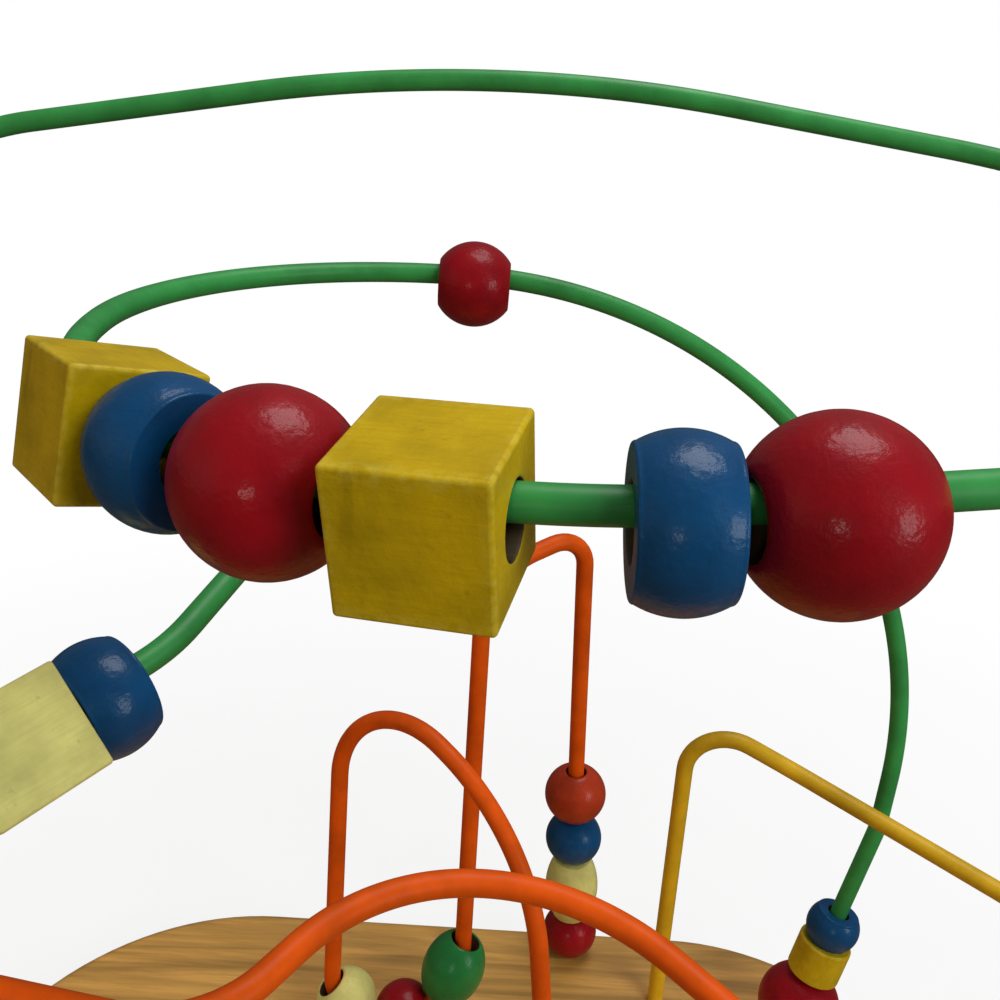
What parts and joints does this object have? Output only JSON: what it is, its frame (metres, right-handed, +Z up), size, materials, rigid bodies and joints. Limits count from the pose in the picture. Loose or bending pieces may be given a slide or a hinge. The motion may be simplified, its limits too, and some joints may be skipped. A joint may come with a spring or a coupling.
{
  "type": "bead maze",
  "caption": "Wooden bead maze toy: painted cubes, drums and balls slide along bent coated wires that loop above a rounded wooden base board.",
  "frame": {"origin": "centre of the base board's underside", "axes": "+X along the board's length to the right, +Y from the front to the back, +Z up"},
  "size_m": [0.3145, 0.1885, 0.3022],
  "materials": {
    "board": "satin varnish",
    "green_wire": "smooth coating",
    "orange_wire": "smooth coating",
    "yellow_wire": "smooth coating",
    "bead_yellow": "painted, satin gloss",
    "bead_blue": "painted, satin gloss",
    "bead_red": "painted, satin gloss",
    "bead_green": "painted, satin gloss"
  },
  "bodies": {
    "frame": {"base_board": "board", "green_ring_wire": "green_wire", "green_arch_wire": "green_wire", "orange_wire": "orange_wire", "yellow_wire": "yellow_wire"},
    "rail_ball_left": {"rail_ball_left": "bead_red"},
    "rail_drum_left": {"rail_drum_left": "bead_blue"},
    "rail_cube_left": {"rail_cube_left": "bead_yellow"},
    "rail_cube_front": {"rail_cube_front": "bead_yellow"},
    "rail_drum_front": {"rail_drum_front": "bead_blue"},
    "rail_ball_front": {"rail_ball_front": "bead_red"},
    "back_ball": {"back_ball": "bead_red"},
    "dip_drum": {"dip_drum": "bead_blue"},
    "dip_cube": {"dip_cube": "bead_yellow"},
    "green_foot_ball": {"green_foot_ball": "bead_red"},
    "green_foot_cylinder": {"green_foot_cylinder": "bead_yellow"},
    "green_foot_drum": {"green_foot_drum": "bead_blue"},
    "stack_ball_low": {"stack_ball_low": "bead_red"},
    "stack_barrel": {"stack_barrel": "bead_yellow"},
    "stack_ball_blue": {"stack_ball_blue": "bead_blue"},
    "stack_ball_top": {"stack_ball_top": "bead_red"},
    "valley_ball_red": {"valley_ball_red": "bead_red"},
    "valley_oval": {"valley_oval": "bead_green"},
    "valley_ball_yellow": {"valley_ball_yellow": "bead_yellow"},
    "yellow_foot_ball": {"yellow_foot_ball": "bead_green"},
    "yellow_foot_drum": {"yellow_foot_drum": "bead_red"},
    "yellow_foot_ball_top": {"yellow_foot_ball_top": "bead_blue"}
  },
  "joints": [
    {"name": "rail_ball_left_along_wire", "type": "hinge", "parent": "frame", "child": "rail_ball_left", "pos_m": [0.01401, 0.00727, 0.25714], "axis": [-0.0514, -0.0163, 0.9985], "range_deg": [-8, 0]},
    {"name": "rail_drum_left_along_wire", "type": "hinge", "parent": "rail_ball_left", "child": "rail_drum_left", "pos_m": [0.01401, 0.00727, 0.25714], "axis": [-0.0514, -0.0163, 0.9985], "range_deg": [-8, 0]},
    {"name": "rail_cube_left_along_wire", "type": "hinge", "parent": "rail_drum_left", "child": "rail_cube_left", "pos_m": [0.01401, 0.00727, 0.25714], "axis": [-0.0514, -0.0163, 0.9985], "range_deg": [-8, 0]},
    {"name": "rail_cube_front_along_wire", "type": "hinge", "parent": "frame", "child": "rail_cube_front", "pos_m": [0.01401, 0.00727, 0.25714], "axis": [-0.0514, -0.0163, 0.9985], "range_deg": [0, 2.8]},
    {"name": "rail_drum_front_along_wire", "type": "hinge", "parent": "frame", "child": "rail_drum_front", "pos_m": [0.01401, 0.00727, 0.25714], "axis": [-0.0514, -0.0163, 0.9985], "range_deg": [-2.8, 0]},
    {"name": "rail_ball_front_along_wire", "type": "slide", "parent": "frame", "child": "rail_ball_front", "axis": [0.9817, 0.1829, 0.0535], "range_m": [0, 0.054]},
    {"name": "back_ball_along_wire", "type": "hinge", "parent": "frame", "child": "back_ball", "pos_m": [-0.01192, 0.05748, 0.12171], "axis": [0.0219, -0.9944, 0.1034], "range_deg": [-80, 0]},
    {"name": "dip_drum_along_wire", "type": "slide", "parent": "frame", "child": "dip_drum", "axis": [0.6306, 0.7521, 0.1917], "range_m": [-0.008, 0]},
    {"name": "dip_cube_along_wire", "type": "slide", "parent": "dip_drum", "child": "dip_cube", "axis": [0.6306, 0.7521, 0.1917], "range_m": [-0.006, 0]},
    {"name": "green_foot_ball_along_wire", "type": "slide", "parent": "frame", "child": "green_foot_ball", "axis": [0.2097, 0.0734, 0.975], "range_m": [0, 0.008]},
    {"name": "green_foot_cylinder_along_wire", "type": "slide", "parent": "green_foot_ball", "child": "green_foot_cylinder", "axis": [0.2097, 0.0734, 0.975], "range_m": [0, 0.008]},
    {"name": "green_foot_drum_along_wire", "type": "slide", "parent": "green_foot_cylinder", "child": "green_foot_drum", "axis": [0.2097, 0.0734, 0.975], "range_m": [0, 0.01]},
    {"name": "stack_ball_low_along_wire", "type": "slide", "parent": "frame", "child": "stack_ball_low", "axis": [-0.0524, -0.049, 0.9974], "range_m": [0, 0.012]},
    {"name": "stack_barrel_along_wire", "type": "slide", "parent": "stack_ball_low", "child": "stack_barrel", "axis": [-0.0524, -0.049, 0.9974], "range_m": [0, 0.014]},
    {"name": "stack_ball_blue_along_wire", "type": "slide", "parent": "stack_barrel", "child": "stack_ball_blue", "axis": [-0.0524, -0.049, 0.9974], "range_m": [0, 0.018]},
    {"name": "stack_ball_top_along_wire", "type": "slide", "parent": "stack_ball_blue", "child": "stack_ball_top", "axis": [-0.0524, -0.049, 0.9974], "range_m": [0, 0.026]},
    {"name": "valley_ball_red_along_wire", "type": "hinge", "parent": "frame", "child": "valley_ball_red", "pos_m": [-0.02633, 0.0441, 0.05339], "axis": [0.113, -0.989, 0.0957], "range_deg": [0, 4]},
    {"name": "valley_oval_along_wire", "type": "hinge", "parent": "valley_ball_red", "child": "valley_oval", "pos_m": [-0.02633, 0.0441, 0.05339], "axis": [0.113, -0.989, 0.0957], "range_deg": [0, 7]},
    {"name": "valley_ball_yellow_along_wire", "type": "hinge", "parent": "frame", "child": "valley_ball_yellow", "pos_m": [-0.02829, 0.04332, 0.0439], "axis": [0.1126, -0.9862, 0.1211], "range_deg": [-14, 0]},
    {"name": "yellow_foot_ball_along_wire", "type": "slide", "parent": "frame", "child": "yellow_foot_ball", "axis": [0, -0.0844, 0.9964], "range_m": [0, 0.006]},
    {"name": "yellow_foot_drum_along_wire", "type": "slide", "parent": "yellow_foot_ball", "child": "yellow_foot_drum", "axis": [0, -0.0844, 0.9964], "range_m": [0, 0.007]},
    {"name": "yellow_foot_ball_top_along_wire", "type": "slide", "parent": "yellow_foot_drum", "child": "yellow_foot_ball_top", "axis": [0, -0.0844, 0.9964], "range_m": [0, 0.01]}
  ]
}
